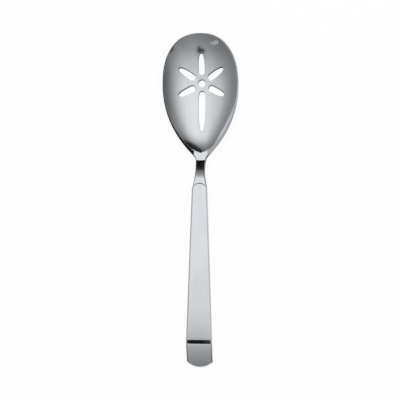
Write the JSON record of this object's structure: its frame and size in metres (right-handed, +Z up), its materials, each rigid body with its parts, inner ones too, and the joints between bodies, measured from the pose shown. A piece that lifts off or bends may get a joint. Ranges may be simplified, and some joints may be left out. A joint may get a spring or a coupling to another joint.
{
  "type": "slotted serving spoon",
  "caption": "Pierced serving spoon: an oval bowl with a star of slots round a drain hole, a narrow neck, and a flat tapering hollow handle whose end is bent down.",
  "frame": {"origin": "middle of the spoon's length and width, on the surface that it lies on", "axes": "+Y towards the bowl's tip, +X to the right seen from above, +Z up, away from the surface that it lies on"},
  "size_m": [0.0524, 0.228, 0.0184],
  "materials": {
    "bowl_steel": "mirror-polished stainless steel with fine hairlines",
    "handle_steel": "mirror-polished stainless steel with fine hairlines",
    "cement": "set filler, hidden inside the handle"
  },
  "bodies": {
    "root": {"bowl": "bowl_steel", "handle_front": "handle_steel", "handle_back": "handle_steel", "tang_cement": "cement"}
  },
  "joints": []
}
